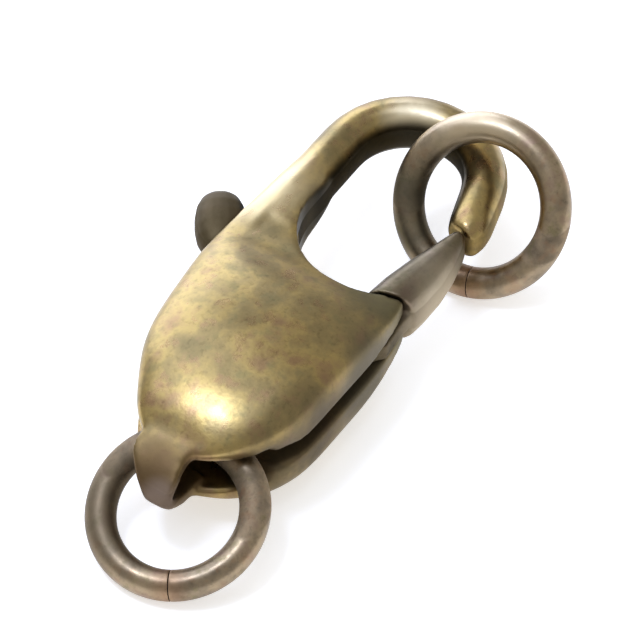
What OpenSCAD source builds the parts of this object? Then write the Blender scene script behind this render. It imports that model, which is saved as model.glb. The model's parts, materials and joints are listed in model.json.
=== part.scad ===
// Lobster clasp with a jump ring at its tail and another hooked through its claw.
// +X runs from the tail to the claw, +Y is the thumb tab's side, and the clasp lies on z = 0.

/* [Body] */
// Width of the domed body across both cheeks
body_w = 5.7; // [5.6:0.05:5.8]
// Height over both domes
body_h = 3.8; // [3.7:0.05:3.9]
// Length of the domed body from the tail strap to the mouth
body_l = 6.95; // [6.85:0.05:7.05]
// Radius of the mouth's round bottom
mouth_r = 2.2; // [2.1:0.05:2.3]
// Height of the slot between the two cheeks
slot_h = 0.6; // [0.55:0.05:0.65]
// Height of the slot at the tail, where the ring passes
tail_slot_h = 1.15; // [1.1:0.05:1.2]
// Length of the higher slot at the tail
tail_slot_l = 1.55; // [1.5:0.05:1.7]
// Height of the upright rim on each cheek
rim_h = 0.55; // [0.5:0.01:0.6]
// Thickness of the back wall that joins the cheeks beside the thumb tab
back_wall = 0.6; // [0.5:0.05:0.7]

/* [Tail strap] */
// Width of the strap where it leaves the body
strap_w = 1.7; // [1.6:0.05:1.8]
// Length of the folded strap behind the body
strap_l = 1.38; // [1.34:0.02:1.46]
// Thickness of the strap
strap_t = 0.42; // [0.38:0.01:0.46]
// Height inside the strap's fold
fold_h = 0.9; // [0.85:0.05:0.95]

/* [Claw] */
// Width of the claw bar seen from above
claw_w = 1.3; // [1.2:0.05:1.35]
// Thickness of the claw bar round its bend
claw_t = 1.55; // [1.45:0.05:1.6]
// Radius of the claw's bend along the middle of the bar
claw_r = 2.07; // [2.03:0.01:2.12]
// Distance from the mouth's bottom forward to the centre of the claw's bend
claw_reach = 4.57; // [4.5:0.01:4.62]
// Angle that the claw turns through before it runs straight to its tip
claw_turn = 162; // [160:1:163]

/* [Lever] */
// Radius of the lever's hub round the pivot
hub_r = 0.9; // [0.8:0.05:0.95]
// Width of the gate at its root
gate_w = 1.25; // [1.2:0.01:1.3]
// Thickness of the gate at its root
gate_t = 1.9; // [1.8:0.05:1.95]
// Thickness of the gate at its tip
gate_tip_t = 1.2; // [1.1:0.05:1.25]
// Width of the thumb tab's neck
neck_w = 0.8; // [0.7:0.05:0.85]
// Length of the thumb tab's pad
tab_l = 2.15; // [2.05:0.05:2.25]
// Width of the thumb tab's pad
tab_w = 1.4; // [1.3:0.05:1.45]
// Height of the thumb tab's pad
tab_h = 1.2; // [1.1:0.05:1.3]
// Angle that the gate swings inward to open
open_deg = 23; // [20:1:23]

/* [Pivot pin] */
// Radius of the pivot pin
pin_r = 0.35; // [0.3:0.01:0.4]
// Depth of the pin's seat in each cheek
seat_h = 0.8; // [0.7:0.05:0.85]

/* [Jump rings] */
// Outside diameter of the jump rings
ring_d = 5.0; // [4.96:0.01:5.03]
// Diameter of the jump rings' wire
wire_d = 0.85; // [0.8:0.01:0.86]
// Slope of the ring that hangs through the claw
hook_lean = 47.6; // [47:0.2:48.2]

/* [Clearances] */
// Gap between the lever and the metal around it
lever_gap = 0.04; // [0.03:0.01:0.05]
// Gap round the pivot pin
pin_gap = 0.02; // [0.01:0.01:0.03]
// Gap between the tail ring and the roof of its slot
ring_gap = 0.07; // [0.05:0.01:0.09]
// Width of the butt joint in each jump ring
butt_gap = 0.04; // [0.03:0.01:0.06]

/* [Hidden] */
$fn = 48;

// Plan positions are measured from the mouth's bottom, heights from the clasp's mid plane
half_w = body_w / 2;
half_h = body_h / 2;
slot_z = slot_h / 2;
wire_r = wire_d / 2;
ring_r = (ring_d - wire_d) / 2;
tail_x = -body_l;
side_y = 0.4;
left_y = side_y + half_w;
right_y = side_y - half_w;
arm_y = left_y - claw_w;

// Cheek sections from the tail to the mouth and on along the claw's root: place in body lengths,
// left and right edges in half widths, rim in rim heights over the slot, crown in half heights
cheek_at = 0;
cheek_left = 1;
cheek_right = 2;
cheek_rim = 3;
cheek_crown = 4;
CHEEKS = [
    [0.00, 0.22, -0.36, 1.00, 0.46],
    [0.03, 0.31, -0.49, 1.00, 0.52],
    [0.07, 0.41, -0.62, 1.00, 0.62],
    [0.12, 0.50, -0.73, 1.00, 0.72],
    [0.18, 0.59, -0.84, 1.00, 0.81],
    [0.25, 0.69, -0.92, 1.00, 0.89],
    [0.34, 0.79, -0.98, 1.00, 0.95],
    [0.44, 0.86, -1.00, 1.00, 0.99],
    [0.54, 0.90, -1.00, 1.00, 1.00],
    [0.64, 0.93, -1.00, 1.00, 0.97],
    [0.74, 0.96, -1.00, 1.00, 0.92],
    [0.83, 0.98, -0.99, 1.00, 0.83],
    [0.91, 0.99, -0.97, 0.97, 0.70],
    [0.97, 1.00, -0.95, 0.91, 0.58],
    [1.03, 1.00, -0.92, 0.86, 0.51],
    [1.10, 1.00, -0.87, 0.78, 0.48],
    [1.13, 1.00, -0.84, 0.75, 0.48],
    [1.15, 1.00, 0.05, 0.56, 0.48],
    [1.24, 1.00, 0.32, 0.31, 0.47],
    [1.36, 1.00, 0.48, -0.02, 0.44],
    [1.48, 0.99, 0.57, -0.31, 0.37]];

// Claw sections: place along the whole bar, width in claw widths, thickness in claw thicknesses
claw_wide = 1;
claw_thick = 2;
CLAW = [
    [0.00, 1.00, 1.22],
    [0.22, 1.00, 1.14],
    [0.42, 1.00, 1.02],
    [0.70, 0.98, 0.98],
    [0.88, 0.94, 0.94],
    [0.95, 0.92, 0.88],
    [0.98, 0.82, 0.78],
    [1.00, 0.60, 0.60]];

// Gate sections: place from root to tip, inner and outer edges in gate widths from the root's inner
// edge, share of the way from root to tip thickness
gate_at = 0;
gate_in = 1;
gate_out = 2;
gate_thin = 3;
GATE = [
    [0.00, -0.10, 0.90, 0.00],
    [0.08, -0.12, 0.96, 0.04],
    [0.28, -0.08, 1.03, 0.25],
    [0.50, 0.03, 1.04, 0.50],
    [0.72, 0.19, 0.95, 0.76],
    [0.90, 0.33, 0.81, 0.97],
    [0.97, 0.40, 0.74, 1.08],
    [1.00, 0.47, 0.67, 1.25]];

// Strap outline: place behind the body in strap lengths, edge at the top and at the bottom of the
// fold in strap widths
strap_at = 0;
strap_top = 1;
strap_low = 2;
STRAP = [
    [-0.40, 0.54, 0.44],
    [0.00, 0.58, 0.38],
    [0.25, 0.60, 0.30],
    [0.50, 0.54, 0.20],
    [0.74, 0.41, 0.03],
    [0.93, 0.20, -0.12],
    [1.00, 0.02, -0.24],
    [1.00, -0.30, -0.32],
    [0.85, -0.42, -0.42],
    [0.20, -0.34, -0.40],
    [-0.40, -0.32, -0.42]];
strap_y = side_y - 0.3;
strap_root = 0.5;

// Fullness of each rounded form, where 2 is an ellipse
dome_full = 2.4;
bar_full = 2;
gate_full = 2.6;
tab_full = 2.4;
fold_full = 1.5;

// Steps round or along each rounded form
dome_steps = 24;
bar_steps = 24;
arm_steps = 5;
bend_steps = 14;
tip_steps = 5;
tab_steps = 9;
fold_steps = 16;

pivot = [-1.13, right_y + 1.45];
cheek_corner = [0.27, right_y + 1.3];
cheek_end = [0.75, right_y - 0.2];

claw_c = [claw_reach, arm_y + claw_w / 2 - claw_r];
claw_tip_l = 1.75;
arm_l = claw_c.x - pivot.x;
bend_l = claw_r * claw_turn * PI / 180;
claw_l = arm_l + bend_l + claw_tip_l;

gate_root_x = cheek_corner.x - 0.15;
gate_tip = [claw_c.x - 0.97, cheek_corner.y - gate_w * GATE[len(GATE) - 1][gate_out]];
gate_reach = norm(gate_tip - pivot);
swing_deg = 30;
swing_steps = 12;

// The web of the lever comes flush with the cheeks' rims here
web_front = cheek_corner.x - 0.9;
web_y = cheek_corner.y - gate_w * GATE[0][gate_out];
lever_t = slot_h - 2 * lever_gap;

tab_turn = 35;
tab_c = [0.5, left_y + 0.47];
tab_end = 0.985;

// The window in the back wall stops the neck at rest and clears it when the gate is open
neck_deg = atan2(tab_c.y - pivot.y, tab_c.x - pivot.x);
neck_side = neck_w / 2 / sin(neck_deg) + lever_gap;
window_front = pivot.x + (left_y - pivot.y) / tan(neck_deg) + neck_side;
window_back = pivot.x + (left_y - pivot.y) / tan(neck_deg + open_deg) - 2 * neck_side;

tail_ring_at = [tail_x - 0.78, side_y - 1];
tail_heading = 4;
tail_lean = asin((half_h + tail_slot_h / 2 - ring_gap - wire_d) / (2 * ring_r));
hook_ring_at = claw_c + claw_r * [0.198, -1.034];
hook_heading = 6.4;

// Angles round each ring from its top to its butt joint
tail_butt = 203;
hook_butt = 191;

// A share of a half size, drawn out towards a square as fullness grows
function bulge(share, full) = sign(share) * pow(abs(share), 2 / full);
function mix(a, b, share) = a + (b - a) * share;
function column(table, k) = [for (row = table) [row[0], row[k]]];

// A row halfway on the smooth curve from one row of a table to the next
function halfway(table, k) = (9 * (table[k] + table[k + 1]) - table[max(k - 1, 0)]
    - table[min(k + 2, len(table) - 1)]) / 16;
function smoothed(table) = [for (k = [0:len(table) - 1])
    each k + 1 < len(table) ? [table[k], halfway(table, k)] : [table[k]]];

// Closes rings of equal length into a tube with flat ends
module skin(rings) {
    n = len(rings[0]);
    last = len(rings) - 1;
    polyhedron([for (ring = rings) each ring], concat(
        [[for (i = [0:n - 1]) i]],
        [for (k = [0:last - 1], i = [0:n - 1]) let (a = k * n + i, b = k * n + (i + 1) % n)
            each [[a, a + n, b], [b, a + n, b + n]]],
        [[for (i = [n - 1:-1:0]) last * n + i]]));
}

// One upright section through both cheeks, solid between them
function cheek_ring(row) =
    let (mid = side_y + half_w * (row[cheek_left] + row[cheek_right]) / 2,
        half = half_w * (row[cheek_left] - row[cheek_right]) / 2,
        rim = slot_z + rim_h * row[cheek_rim],
        rise = half_h * row[cheek_crown] - rim)
    [for (side = [1, -1], i = [0:dome_steps]) let (a = 180 * i / dome_steps)
        [body_l * (row[cheek_at] - 1), mid + side * half * bulge(cos(a), dome_full),
            side * (rim + rise * bulge(sin(a), dome_full))]];

// One section across a bar that runs in the heading's direction
function bar_ring(at, heading, wide, thick, full) =
    [for (i = [0:bar_steps - 1]) let (a = 360 * i / bar_steps, side = wide / 2 * bulge(cos(a), full))
        [at.x - sin(heading) * side, at.y + cos(heading) * side, thick / 2 * bulge(sin(a), full)]];

// The claw's middle line: straight along the arm, round the bend, straight to the tip
function claw_heading(run) = -min(max(run - arm_l, 0), bend_l) / claw_r * 180 / PI;
function claw_at(run) =
    let (turn = -claw_heading(run), past = max(run - arm_l - bend_l, 0))
    claw_c + [min(run, arm_l) - arm_l, 0] + claw_r * [sin(turn), cos(turn)]
        + past * [cos(turn), -sin(turn)];

// The pad's half length at a step, and its size there, both as shares
function tab_share(i) = -cos(180 * i / tab_steps) * tab_end;
function tab_size(i) = pow(1 - pow(abs(tab_share(i)), tab_full), 1 / tab_full);

module cheeks() {
    skin([for (row = smoothed(CHEEKS)) cheek_ring(row)]);
}

module claw() {
    runs = concat([for (i = [0:arm_steps - 1]) arm_l * i / arm_steps],
        [for (i = [0:bend_steps]) arm_l + bend_l * i / bend_steps],
        [for (i = [1:tip_steps]) arm_l + bend_l + claw_tip_l * i / tip_steps]);
    skin([for (run = runs)
        bar_ring(claw_at(run), claw_heading(run), claw_w * lookup(run / claw_l, column(CLAW, claw_wide)),
            claw_t * lookup(run / claw_l, column(CLAW, claw_thick)), bar_full)]);
}

// Plan of the opening in front of the cheeks, from the arm's inner side to the gate's outer side
module mouth_plan(gap = 0) {
    translate([mouth_r, arm_y - mouth_r]) circle(mouth_r - gap);
    translate([gap, 0]) polygon([[mouth_r, arm_y], [cheek_corner.x + 0.3, cheek_corner.y + 1],
        cheek_corner, cheek_end, [3 * claw_reach, cheek_end.y], [3 * claw_reach, arm_y]]);
}

// Plan of the slot, open along the gate's side, at the window for the neck and at the tail
module slot_plan() {
    wall_y = left_y - back_wall;
    translate([tail_x - 1, right_y - 1]) square([body_l + mouth_r, wall_y - right_y + 1]);
    translate([window_back, 0]) square([window_front - window_back, left_y + 1]);
}

// Plan of the higher slot at the tail
module tail_slot_plan() {
    translate([tail_x - 1, right_y - 1]) square([1 + tail_slot_l, body_w + 2]);
}

// Plan of the gate's swing, which cuts the claw's tip to length
module swing_plan() {
    polygon(concat([pivot], [for (i = [0:swing_steps])
        pivot + (gate_reach + lever_gap) * [cos(i * swing_deg / swing_steps),
            -sin(i * swing_deg / swing_steps)]]));
}

module pin_space(gap) {
    translate([pivot.x, pivot.y]) cylinder(h = slot_h + 2 * (seat_h - pin_gap + gap), r = pin_r + gap,
        center = true);
}

// Side view of one face of the folded strap, from the body round the fold and back
module fold_side(long, high) {
    polygon(concat([[tail_x + strap_root, -high]],
        [for (i = [0:fold_steps]) let (a = 180 * i / fold_steps - 90)
            [tail_x - long * bulge(cos(a), fold_full), high * bulge(sin(a), fold_full)]],
        [[tail_x + strap_root, high]]));
}

// A strap folded round the tail, its edges drawn in towards the bottom of the fold
module strap() {
    strap_z = fold_h / 2 + strap_t;
    intersection() {
        rotate([90, 0, 0]) linear_extrude(2 * body_w, center = true) difference() {
            fold_side(strap_l, strap_z);
            fold_side(strap_l - strap_t, fold_h / 2);
            translate([tail_x, -fold_h / 2]) square([strap_l, fold_h]);
        }
        skin([for (side = [-1, 1]) [for (row = STRAP)
            [tail_x - strap_l * row[strap_at],
                strap_y + strap_w * mix(row[strap_low], row[strap_top], (side + 1) / 2),
                side * strap_z]]]);
    }
}

module clasp_body() color("#8a7550") {
    difference() {
        union() {
            difference() {
                cheeks();
                linear_extrude(2 * body_h, center = true) mouth_plan();
                linear_extrude(slot_h, center = true) slot_plan();
                linear_extrude(tail_slot_h, center = true) tail_slot_plan();
            }
            difference() {
                claw();
                linear_extrude(2 * body_h, center = true) swing_plan();
                linear_extrude(slot_h, center = true) slot_plan();
            }
            strap();
        }
        pin_space(pin_gap);
        lean_ring(tail_ring_at, tail_lean, tail_heading) ring_wire(wire_r + ring_gap);
    }
}

// Plan of the flat web inside the slot, with its arms to the gate and to the thumb tab
module web_plan() {
    across = neck_w / 2 * [sin(neck_deg), -cos(neck_deg)];
    along = hub_r * [cos(neck_deg), sin(neck_deg)];
    gate_x = mix(gate_root_x, gate_tip.x, GATE[2][gate_at]);
    polygon([pivot - across, tab_c - across, tab_c + across, pivot + across + along,
        cheek_corner - [0.15, 0], [gate_x, cheek_corner.y - gate_w * 0.3], [gate_x, web_y - 0.05],
        [cheek_corner.x, web_y], [web_front, web_y - 0.1], pivot - [0.3, hub_r * 0.9]]);
}

module gate() {
    intersection() {
        skin([for (row = GATE)
            bar_ring([mix(gate_root_x, gate_tip.x, row[gate_at]),
                    cheek_corner.y - gate_w * (row[gate_in] + row[gate_out]) / 2],
                0, gate_w * (row[gate_out] - row[gate_in]), mix(gate_t, gate_tip_t, row[gate_thin]),
                gate_full)]);
        linear_extrude(2 * body_h, center = true) mouth_plan(lever_gap);
    }
}

// A rounded pad whose inner side runs flat along the body
module tab() {
    intersection() {
        skin([for (i = [0:tab_steps])
            bar_ring(tab_c + tab_l / 2 * tab_share(i) * [cos(tab_turn), sin(tab_turn)], tab_turn,
                tab_w * tab_size(i), tab_h * tab_size(i), tab_full)]);
        translate([tab_c.x - tab_l, left_y + lever_gap, -tab_h]) cube([2 * tab_l, tab_l, 2 * tab_h]);
    }
}

module lever() color("#7d6a4a") {
    difference() {
        union() {
            translate([pivot.x, pivot.y]) cylinder(h = lever_t, r = hub_r, center = true);
            linear_extrude(lever_t, center = true) web_plan();
            gate();
            tab();
        }
        pin_space(pin_gap);
    }
}

module pivot_pin() color("#6b5d42") {
    pin_space(0);
}

// Stands a ring so that its lowest point touches the floor and its heading points up its slope
module lean_ring(at, lean, heading) {
    translate([at.x, at.y, -half_h + wire_r + ring_r * sin(lean)]) rotate([0, -lean, heading]) children();
}

module ring_wire(radius) {
    rotate_extrude() translate([ring_r, 0]) circle(radius);
}

module cut_ring(butt) color("#7f6c4c") {
    difference() {
        ring_wire(wire_r);
        rotate(butt) translate([ring_r, 0]) cube([2 * wire_d, butt_gap, 2 * wire_d], center = true);
    }
}

module tail_ring() {
    lean_ring(tail_ring_at, tail_lean, tail_heading) cut_ring(tail_butt);
}

module hook_ring() {
    lean_ring(hook_ring_at, hook_lean, hook_heading) cut_ring(hook_butt);
}

// The origin is under the middle of the whole part
function ring_half_x(lean, heading) = ring_r * sqrt(1 - pow(sin(lean) * cos(heading), 2)) + wire_r;
function ring_half_y(lean, heading) = ring_r * sqrt(1 - pow(sin(lean) * sin(heading), 2)) + wire_r;
back_x = tail_ring_at.x - ring_half_x(tail_lean, tail_heading);
front_x = claw_c.x + claw_r + claw_w / 2;
low_y = hook_ring_at.y - ring_half_y(hook_lean, hook_heading);
high_y = tab_c.y + max([for (i = [0:tab_steps])
    tab_l / 2 * tab_share(i) * sin(tab_turn) + tab_w / 2 * tab_size(i) * cos(tab_turn)]);

module place() {
    translate([-(back_x + front_x) / 2, -(low_y + high_y) / 2, half_h]) children();
}

place() clasp_body();
place() lever();
place() pivot_pin();
place() tail_ring();
place() hook_ring();
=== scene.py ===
import json
import math

import bmesh
import bpy
from mathutils import Matrix, Vector


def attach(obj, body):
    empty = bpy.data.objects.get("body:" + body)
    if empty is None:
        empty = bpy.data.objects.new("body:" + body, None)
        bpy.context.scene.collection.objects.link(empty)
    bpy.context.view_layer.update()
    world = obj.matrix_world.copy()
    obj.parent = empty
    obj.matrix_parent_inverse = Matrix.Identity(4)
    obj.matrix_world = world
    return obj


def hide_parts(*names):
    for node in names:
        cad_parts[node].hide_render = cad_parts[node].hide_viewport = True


# antique bronze lobster clasp with a jump ring at the tail and one in the claw
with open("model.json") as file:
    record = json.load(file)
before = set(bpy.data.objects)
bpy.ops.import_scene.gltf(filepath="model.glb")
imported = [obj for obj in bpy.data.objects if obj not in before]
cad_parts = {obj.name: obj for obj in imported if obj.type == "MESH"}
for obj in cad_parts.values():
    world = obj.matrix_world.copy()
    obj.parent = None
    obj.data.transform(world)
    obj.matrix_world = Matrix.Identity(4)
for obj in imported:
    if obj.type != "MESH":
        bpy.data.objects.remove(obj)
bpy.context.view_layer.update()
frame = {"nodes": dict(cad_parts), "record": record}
nodes = frame["nodes"]
ringMounts = {m["name"]: m for m in frame["record"]["mounts"]}
scene = bpy.context.scene
mm = 0.001
midMm = 1.9     # height of the clasp's middle above the surface
print("frame loaded:", sorted(nodes))


def hexColour(text):
    out = []
    for i in (1, 3, 5):
        c = int(text[i:i + 2], 16) / 255     # sRGB, turned linear
        out.append(c / 12.92 if c <= 0.04045 else ((c + 0.055) / 1.055) ** 2.4)
    return (*out, 1.0)


# a value that is a socket is linked, any other is set; stops are a ramp's places and tones
def addNode(tree, kind, given=None):
    node = tree.nodes.new(kind)
    for key, value in (given or {}).items():
        if key == "stops":
            points = node.color_ramp.elements
            for k, (place, tone) in enumerate(value):
                point = points[k] if k < 2 else points.new(place)
                point.position = place
                point.color = hexColour(tone) if isinstance(tone, str) else (tone, tone, tone, 1)
        elif isinstance(value, bpy.types.NodeSocket):
            tree.links.new(value, node.inputs[key])
        elif isinstance(key, int) or key in node.inputs:
            node.inputs[key].default_value = value
        else:
            setattr(node, key, value)
    return node


# brass casting, plated antique bronze and rubbed back by tumbling: it gives the eye golden brown
# with olive and rosy clouds, near black recesses and a soft sheen
castFinish = {
    "clouds": [(0.30, "#82734f"), (0.45, "#988458"), (0.55, "#ad955e"), (0.68, "#9c805b")],
    "rosy": "#98765a", "rosyStops": [(0.54, 0.0), (0.72, 0.55)],
    "olive": "#7e7650", "oliveStops": [(0.30, 0.5), (0.44, 0.0)],
    "speckStops": [(0.30, 0.8), (0.46, 1.0), (0.66, 1.0), (0.78, 1.1)],
    "recessAndShade": "#14130e", "recessMm": 0.45, "recessStops": [(0.2, 0.0), (0.6, 1.0)],
    "cloudMm": 1.3, "tintMm": 0.55, "speckMm": 0.16, "grainMm": 0.09, "bumpMm": 0.006,
    "roughLow": 0.25, "roughHigh": 0.36, "roughDull": 0.7, "spotDull": 0.6, "slotMm": (0.3, 0.36),
    # painted shade on the side facing into the mouth: where it starts and ends, how dark, and the edge
    # tint there
    "hollowFrom": 0.35, "hollowTo": 0.8, "hollowShadeDark": 0.9, "edgeTint": 0.65,
    "spots": [     # painted shade on the strap, the claw's outer edge, the arm's inner wall, the cheek by the gate and along the rim on the gate's side, and one paler painted reflection low on the strap; all are duller too: middle, size in mm, colour, share
        ((-6.2, -0.15, 1.9), 1.9, "#5e4a32", 0.95), ((-6.85, -0.6, 1.95), 0.8, "#8f7d6e", 0.85),
        ((7.8, 2.6, 1.9), 1.4, "#675539", 0.8), ((8.4, 1.3, 1.9), 1.5, "#675539", 0.8),
        ((3.65, 1.6, 2.35), 0.75, "#2f2b20", 0.9), ((3.65, 1.6, 1.45), 0.75, "#2f2b20", 0.9),
        ((1.8, -1.7, 2.5), 1.9, "#5f5a42", 0.8), ((1.8, -1.7, 1.3), 1.9, "#5f5a42", 0.8),
        ((-0.2, -2.7, 2.1), 1.8, "#615947", 0.8), ((-0.2, -2.7, 1.7), 1.8, "#615947", 0.8),
        ((-2.4, -3.0, 1.9), 2.1, "#4f4537", 0.85), ((-4.3, -2.2, 1.9), 1.6, "#54483a", 0.8),
    ],
    "paintedHighlights": [     # painted highlights on the claw's bend and the arm's outer edge, on both faces
        ((7.3, 1.0, 2.7), 1.1, "#ecdcb8", 0.8), ((7.3, 1.0, 1.1), 1.1, "#ecdcb8", 0.8),
        ((3.4, 3.5, 2.5), 2.4, "#dcc79a", 0.75), ((3.4, 3.5, 1.3), 2.4, "#dcc79a", 0.75),
    ],
}
# the lever is cast too, but less rubbed: browner and rougher, with painted light on the gate's side and
# one darker patch
leverFinish = {**castFinish,
    "clouds": [(0.30, "#524c3a"), (0.45, "#675c47"), (0.55, "#756851"), (0.68, "#6b5e4d")],
    "rosy": "#735f52", "olive": "#545236", "roughLow": 0.3, "roughHigh": 0.45,
    "spots": [((3.2, -3.3, 1.3), 2.2, "#c9baa0", 0.9), ((1.9, 3.5, 1.9), 2.2, "#534731", 0.85)],
    "paintedHighlights": [],
}
# the rings are drawn brass wire, plated: greyer than the casting, with smaller clouds
wireFinish = {**castFinish,
    "clouds": [(0.30, "#776a57"), (0.45, "#908069"), (0.55, "#a28f73"), (0.68, "#967f6b")],
    "cloudMm": 0.9, "tintMm": 0.45, "roughLow": 0.28, "roughHigh": 0.42,
    "hollowFrom": 0.4, "hollowTo": 1.0, "hollowShadeDark": 0.4, "paintedHighlights": [],
}
# a darker patch low on the tail ring; on the hook ring, painted shade low on one side and a painted
# highlight on its top
tailFinish = {**wireFinish, "spots": [((-7.4, 0.9, 0.85), 2.4, "#6b5f4c", 0.75)]}
hookFinish = {**wireFinish,
    "spots": [((5.7, 0.0, 1.45), 2.0, "#59533f", 0.65)],
    "paintedHighlights": [((7.6, -1.0, 3.4), 1.8, "#d6c3a2", 0.7)],
}
# the pin is drawn brass, never rubbed: plain dull brown
pinFinish = {**castFinish, "clouds": [(0.3, "#5d5340"), (0.7, "#756a50")], "spots": [], "paintedHighlights": []}


def agedBronze(name, finish, hollow):
    material = bpy.data.materials.new(name)
    material.use_nodes = True
    tree = material.node_tree
    tree.nodes.clear()
    coords = addNode(tree, "ShaderNodeTexCoord")
    place = coords.outputs["Object"]

    # the offsets keep the patterns from following each other
    patterns = []
    for size, detail, rough, offsetMm in (("cloudMm", 4, 0.6, 0), ("tintMm", 3, 0.6, 7),
            ("speckMm", 3, 0.65, 13), ("grainMm", 2, 0.6, 3)):
        moved = addNode(tree, "ShaderNodeMapping", {0: place, 1: (offsetMm * mm, offsetMm * mm, 0)})
        patterns.append(addNode(tree, "ShaderNodeTexNoise", {"Scale": 1 / (finish[size] * mm),
            "Detail": detail, "Roughness": rough, "Vector": moved.outputs[0]}).outputs["Fac"])
    cloud, tint, speck, grain = patterns

    colour = addNode(tree, "ShaderNodeValToRGB", {"Fac": cloud, "stops": finish["clouds"]}).outputs[0]
    for tone in ("rosy", "olive"):
        share = addNode(tree, "ShaderNodeValToRGB",
            {"Fac": tint, "stops": finish[tone + "Stops"]}).outputs[0]
        colour = addNode(tree, "ShaderNodeMix",
            {"data_type": "RGBA", 0: share, 6: colour, 7: hexColour(finish[tone])}).outputs[2]
    shade = addNode(tree, "ShaderNodeValToRGB",
        {"Fac": speck, "stops": finish["speckStops"]}).outputs[0]
    colour = addNode(tree, "ShaderNodeMix",
        {"data_type": "RGBA", "blend_type": "MULTIPLY", 0: 1.0, 6: colour, 7: shade}).outputs[2]

    # the spots are mostly painted shade, on the rings also the copper at the joint, and they dull the
    # roughness; the second group is painted highlights
    spotFades = []
    for group in ("spots", "paintedHighlights"):
        for middle, sizeMm, tone, share in finish[group]:
            away = addNode(tree, "ShaderNodeVectorMath",
                {"operation": "DISTANCE", 0: place, 1: Vector(middle) * mm})
            fade = addNode(tree, "ShaderNodeMapRange", {"interpolation_type": "SMOOTHSTEP",
                "Value": away.outputs["Value"], "From Min": 0.3 * sizeMm * mm, "From Max": sizeMm * mm,
                "To Min": share, "To Max": 0.0}).outputs[0]
            colour = addNode(tree, "ShaderNodeMix",
                {"data_type": "RGBA", 0: fade, 6: colour, 7: hexColour(tone)}).outputs[2]
            if group == "spots":
                spotFades.append(fade)

    # dark plating left in the recesses
    clear = addNode(tree, "ShaderNodeAmbientOcclusion",
        {"samples": 12, "only_local": True, "Distance": finish["recessMm"] * mm})
    clearShare = addNode(tree, "ShaderNodeValToRGB",
        {"Fac": clear.outputs["AO"], "stops": finish["recessStops"]}).outputs[0]
    colour = addNode(tree, "ShaderNodeMix",
        {"data_type": "RGBA", 0: clearShare, 6: hexColour(finish["recessAndShade"]), 7: colour}).outputs[2]

    # painted shade on the side that faces into the mouth or the ring's eye, partly also dark plating
    # left there unrubbed
    inward = addNode(tree, "ShaderNodeVectorMath", {"operation": "SUBTRACT", 0: hollow, 1: place})
    inward = addNode(tree, "ShaderNodeVectorMath", {"operation": "NORMALIZE", 0: inward.outputs[0]})
    facing = addNode(tree, "ShaderNodeVectorMath",
        {"operation": "DOT_PRODUCT", 0: inward.outputs[0], 1: coords.outputs["Normal"]})
    hollowShadeShare = addNode(tree, "ShaderNodeMapRange", {"interpolation_type": "SMOOTHSTEP",
        "Value": facing.outputs["Value"], "From Min": finish["hollowFrom"],
        "From Max": finish["hollowTo"], "To Max": finish["hollowShadeDark"]}).outputs[0]
    colour = addNode(tree, "ShaderNodeMix",
        {"data_type": "RGBA", 0: hollowShadeShare, 6: colour, 7: hexColour(finish["recessAndShade"])}).outputs[2]
    edgeTint = addNode(tree, "ShaderNodeMapRange",
        {"Value": hollowShadeShare, "To Min": 1.0, "To Max": finish["edgeTint"]}).outputs[0]

    # rubbed metal is smoother than the spots and the dull skin inside the slot
    rubbed = addNode(tree, "ShaderNodeMapRange", {"Value": tint, "From Min": 0.3, "From Max": 0.7,
        "To Min": finish["roughHigh"], "To Max": finish["roughLow"]}).outputs[0]
    height = addNode(tree, "ShaderNodeSeparateXYZ", {0: place}).outputs["Z"]
    offMid = addNode(tree, "ShaderNodeMath", {"operation": "SUBTRACT", 0: height, 1: midMm * mm})
    offMid = addNode(tree, "ShaderNodeMath", {"operation": "ABSOLUTE", 0: offMid.outputs[0]})
    slotFrom, slotTo = finish["slotMm"]
    dull = addNode(tree, "ShaderNodeMapRange", {"Value": offMid.outputs[0], "From Min": slotFrom * mm,
        "From Max": slotTo * mm, "To Min": 1.0, "To Max": 0.0}).outputs[0]
    for fade in spotFades:
        part = addNode(tree, "ShaderNodeMath", {"operation": "MULTIPLY", 0: fade, 1: finish["spotDull"]})
        dull = addNode(tree, "ShaderNodeMath",
            {"operation": "MAXIMUM", 0: dull, 1: part.outputs[0]}).outputs[0]
    roughness = addNode(tree, "ShaderNodeMix",
        {"data_type": "FLOAT", 0: dull, 2: rubbed, 3: finish["roughDull"]}).outputs[0]

    relief = addNode(tree, "ShaderNodeMath", {"operation": "MULTIPLY_ADD", 0: grain, 1: 0.35, 2: speck})
    bump = addNode(tree, "ShaderNodeBump", {"Strength": 0.5, "Distance": finish["bumpMm"] * mm,
        "Height": relief.outputs[0]}).outputs[0]
    shader = addNode(tree, "ShaderNodeBsdfPrincipled", {"Metallic": 1.0, "Base Color": colour,
        "Roughness": roughness, "Specular Tint": edgeTint, "Normal": bump})
    addNode(tree, "ShaderNodeOutputMaterial", {"Surface": shader.outputs[0]})
    return material


mouthCentre = (5.2 * mm, 0.2 * mm, midMm * mm)
castBronze = agedBronze("castBronze", castFinish, mouthCentre)
leverBronze = agedBronze("leverBronze", leverFinish, mouthCentre)
pinBronze = agedBronze("pinBronze", pinFinish, mouthCentre)
print("materials made")


def newPiece(name, bm, material, body, replaced):
    mesh = bpy.data.meshes.new(name)
    bm.to_mesh(mesh)
    bm.free()
    mesh.shade_smooth()
    mesh.materials.append(material)
    piece = bpy.data.objects.new(name, mesh)
    scene.collection.objects.link(piece)
    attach(piece, body)
    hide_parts(replaced)
    return piece


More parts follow.
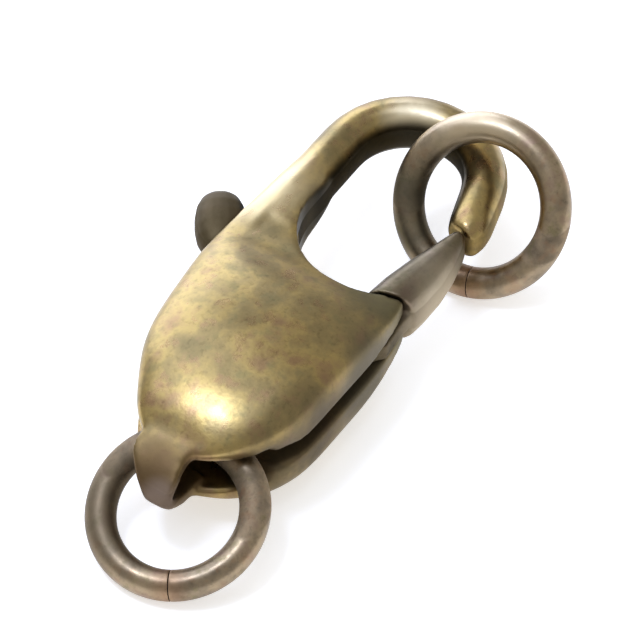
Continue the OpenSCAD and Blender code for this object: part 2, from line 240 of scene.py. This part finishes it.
# a CAD solid with its edges softened as tumbling does
def softCopy(node, name, settings, material, body):
    bm = bmesh.new()
    bm.from_mesh(nodes[node].data)
    bmesh.ops.remove_doubles(bm, verts=bm.verts, dist=0.0005 * mm)
    piece = newPiece(name, bm, material, body, node)
    grid = piece.modifiers.new("castGrid", "REMESH")
    grid.mode = "VOXEL"
    grid.voxel_size = settings["voxelMm"] * mm
    soft = piece.modifiers.new("tumbled", "SMOOTH")
    soft.factor = 0.5
    soft.iterations = settings["tumble"]
    view = bpy.context.evaluated_depsgraph_get()
    bm = bmesh.new()
    bm.from_object(piece, view)
    piece.modifiers.clear()
    for place, radius, passes in settings["melt"]:
        spot = Vector(place) * mm
        near = [(v, (v.co - spot).length) for v in bm.verts]
        near = [(v, away) for v, away in near if away < radius * mm]
        for k in range(passes):
            share = 1 - 0.6 * k / passes     # the melted spot shrinks, so that it fades out
            reach = radius * mm * share
            bmesh.ops.smooth_vert(bm, verts=[v for v, away in near if away < reach], factor=0.5,
                use_axis_x=True, use_axis_y=True, use_axis_z=True)
    bm.to_mesh(piece.data)
    bm.free()
    piece.data.shade_smooth()


# casting and lever
castSettings = {
    "voxelMm": 0.058, "tumble": 20,
    "melt": [     # the strap's root and the steps at the tail's opening: middle, radius in mm, passes
        ((-5.55, 0.0, 2.9), 0.95, 60), ((-5.55, 0.0, 0.9), 0.95, 60),
        ((-3.86, -2.26, 2.25), 0.75, 60), ((-3.86, -2.26, 1.55), 0.75, 60),
        ((-3.86, 2.26, 2.25), 0.75, 60), ((-3.86, 2.26, 1.55), 0.75, 60),
    ],
}
leverSettings = {"voxelMm": 0.045, "tumble": 8, "melt": []}

softCopy("clasp_body", "castBody", castSettings, castBronze, "clasp")
softCopy("lever", "thumbLever", leverSettings, leverBronze, "lever")
nodes["pivot_pin"].data.materials.clear()
nodes["pivot_pin"].data.materials.append(pinBronze)
print("casting and lever made")


# jump rings, bent from round wire with a butt joint where copper shows through
tailSettings = {
    "wireMm": 0.85, "outsideMm": 5.0, "wireSides": 32, "ringSteps": 144, "gapMm": 0.02, "nipMm": 0.015,
    "buttDeg": 203.5, "copper": "#94694c", "copperMm": 0.8, "copperShare": 0.5,
}
hookSettings = {**tailSettings, "buttDeg": 191}


def jumpRing(name, node, eye, settings, finish):
    bendR = (settings["outsideMm"] - settings["wireMm"]) / 2 * mm
    gap = math.degrees(settings["gapMm"] * mm / bendR)
    bm = bmesh.new()
    bmesh.ops.create_circle(bm, segments=settings["wireSides"], radius=settings["wireMm"] / 2 * mm,
        matrix=Matrix.Translation((bendR, 0, 0)) @ Matrix.Rotation(math.radians(90), 4, "X"))
    bmesh.ops.rotate(bm, verts=bm.verts, matrix=Matrix.Rotation(math.radians(gap / 2), 3, "Z"))
    bmesh.ops.spin(bm, geom=bm.verts[:] + bm.edges[:], cent=(0, 0, 0), axis=(0, 0, 1),
        angle=math.radians(360 - gap), steps=settings["ringSteps"], use_merge=False)
    cutEdges = [e for e in bm.edges if e.is_boundary]
    bmesh.ops.holes_fill(bm, edges=cutEdges, sides=0)
    bmesh.ops.bevel(bm, geom=cutEdges, offset=settings["nipMm"] * mm, segments=3, profile=0.5,
        affect="EDGES", material=-1)
    bmesh.ops.recalc_face_normals(bm, faces=bm.faces)

    # laid in the mount's plane, with the angle counted from its uphill side
    eyeAt = Vector(ringMounts[eye]["pos_m"])
    normal = Vector(ringMounts[eye]["axis"]).normalized()
    uphill = Vector((-normal.x, -normal.y, 0)).normalized()
    across = Vector((0, 0, 1)).cross(uphill)
    along = across.cross(normal)
    turn = Matrix((along, across, normal)).transposed()
    butt = math.radians(settings["buttDeg"])
    bmesh.ops.rotate(bm, verts=bm.verts, matrix=Matrix.Rotation(butt, 3, "Z"))
    bmesh.ops.rotate(bm, verts=bm.verts, matrix=turn)
    bmesh.ops.translate(bm, verts=bm.verts, vec=eyeAt)
    joint = eyeAt + turn @ Vector((math.cos(butt), math.sin(butt), 0)) * bendR
    copper = ([v / mm for v in joint], settings["copperMm"], settings["copper"], settings["copperShare"])
    wireBronze = agedBronze(name + "Bronze", {**finish, "spots": finish["spots"] + [copper]}, eyeAt)
    newPiece(name, bm, wireBronze, "clasp", node)


jumpRing("tailWire", "tail_ring", "tail_ring_eye", tailSettings, tailFinish)
jumpRing("hookWire", "hook_ring", "hook_ring_eye", hookSettings, hookFinish)
print("rings made")


# white paper floor, lit from within a little as paper in a light tent looks
floorMesh = bpy.data.meshes.new("floor")
bm = bmesh.new()
bmesh.ops.create_grid(bm, x_segments=1, y_segments=1, size=1.5)
bm.to_mesh(floorMesh)
bm.free()
floor = bpy.data.objects.new("floor", floorMesh)
scene.collection.objects.link(floor)
whitePaper = bpy.data.materials.new("whitePaper")
whitePaper.use_nodes = True
paper = whitePaper.node_tree.nodes["Principled BSDF"]
paper.inputs["Base Color"].default_value = hexColour("#f7f6f4")
paper.inputs["Roughness"].default_value = 0.9
paper.inputs["Specular IOR Level"].default_value = 0.1
paper.inputs["Emission Color"].default_value = hexColour("#ffffff")
paper.inputs["Emission Strength"].default_value = 0.5
floorMesh.materials.append(whitePaper)

cameraSettings = {     # the photograph's angle, its scale and where the clasp stands in it
    "turn": -55.5, "height": 50.0, "photoPx": 640, "pixelMm": 1 / 37.9,
    "middleMm": (-0.2352, 0.3456), "shiftPx": (48, 8), "lensMm": 1600,
}
centre = Vector((0.0, 0.0, midMm)) * mm

# turn is to the right of the camera's line of sight, as seen from above; away, wide and tall in m
softboxes = {
    "window": {"turn": -22, "height": 15, "away": 0.16, "wide": 0.15, "tall": 0.12, "glow": 3.1},
    "leftFill": {"turn": -42, "height": 50, "away": 0.20, "wide": 0.15, "tall": 0.10, "glow": 2.0},
    "topFill": {"turn": -60, "height": 82, "away": 0.24, "wide": 0.16, "tall": 0.16, "glow": 1.2},
    "overhead": {"turn": -92, "height": 72, "away": 0.16, "wide": 0.032, "tall": 0.032, "glow": 23.0},
}
for name, box in softboxes.items():
    light = bpy.data.lights.new(name, "AREA")
    light.shape = "RECTANGLE"
    light.color = hexColour("#d3e0ff")[:3]     # daylight, cooler than the paper's bounce
    light.size, light.size_y = box["wide"], box["tall"]
    light.energy = box["glow"] * math.pi * box["wide"] * box["tall"]
    a, e = math.radians(cameraSettings["turn"] - box["turn"]), math.radians(box["height"])
    lamp = bpy.data.objects.new(name, light)
    lamp.location = centre + Vector(
        (-math.sin(a) * math.cos(e), math.cos(a) * math.cos(e), math.sin(e))) * box["away"]
    lamp.rotation_euler = (centre - lamp.location).to_track_quat("-Z", "Y").to_euler()
    lamp.visible_camera = False
    scene.collection.objects.link(lamp)

whiteRoom = bpy.data.worlds.new("whiteRoom")
whiteRoom.use_nodes = True
whiteRoom.node_tree.nodes["Background"].inputs["Color"].default_value = (1.0, 1.0, 1.0, 1.0)
whiteRoom.node_tree.nodes["Background"].inputs["Strength"].default_value = 0.56
scene.world = whiteRoom
scene.view_settings.view_transform = "Standard"

a, e = math.radians(cameraSettings["turn"]), math.radians(cameraSettings["height"])
back = Vector((math.sin(a) * math.cos(e), -math.cos(a) * math.cos(e), math.sin(e)))
right = Vector((math.cos(a), math.sin(a), 0))
up = back.cross(right)
pixelMm = cameraSettings["pixelMm"]
rightPx, upPx = cameraSettings["shiftPx"]
target = Vector((*cameraSettings["middleMm"], midMm)) * mm + (rightPx * right + upPx * up) * pixelMm * mm
lens = bpy.data.cameras.new("camera")
lens.lens = cameraSettings["lensMm"]
lens.clip_start = 0.01
distance = cameraSettings["photoPx"] * pixelMm * mm * lens.lens / lens.sensor_width
camera = bpy.data.objects.new("camera", lens)
camera.location = target + back * distance
camera.rotation_euler = back.to_track_quat("Z", "Y").to_euler()
scene.collection.objects.link(camera)
scene.camera = camera
print("stage made")
